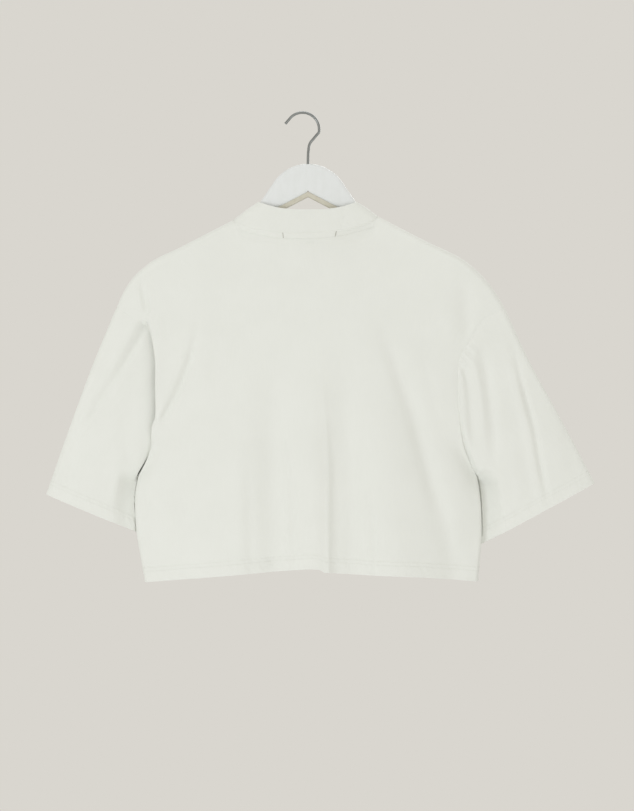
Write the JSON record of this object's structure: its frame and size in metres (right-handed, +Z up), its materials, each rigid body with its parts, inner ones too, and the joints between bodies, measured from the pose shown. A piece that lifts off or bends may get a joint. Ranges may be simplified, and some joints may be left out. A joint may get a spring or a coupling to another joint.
{
  "type": "crop top on a coat hanger",
  "caption": "Boxy cropped T-shirt with a wide neckband and half sleeves, hung on a flat wooden hanger with a wire hook that goes over a rail.",
  "frame": {"origin": "inside of the hook's crown, where a rail along Y carries the hanger", "axes": "+Z up, +X towards the wearer's right sleeve, -Y towards the back panel"},
  "size_m": [0.719, 0.0805, 0.6165],
  "materials": {
    "jersey": "ivory cotton jersey, matt",
    "rib": "ivory cotton rib, matt",
    "painted_wood": "white satin paint on wood",
    "steel_wire": "drawn steel wire"
  },
  "bodies": {
    "root": {"back": "jersey", "front": "jersey", "sleeve_left": "jersey", "sleeve_right": "jersey", "neckband": "rib", "hanger": "painted_wood", "hook": "steel_wire"}
  },
  "joints": []
}
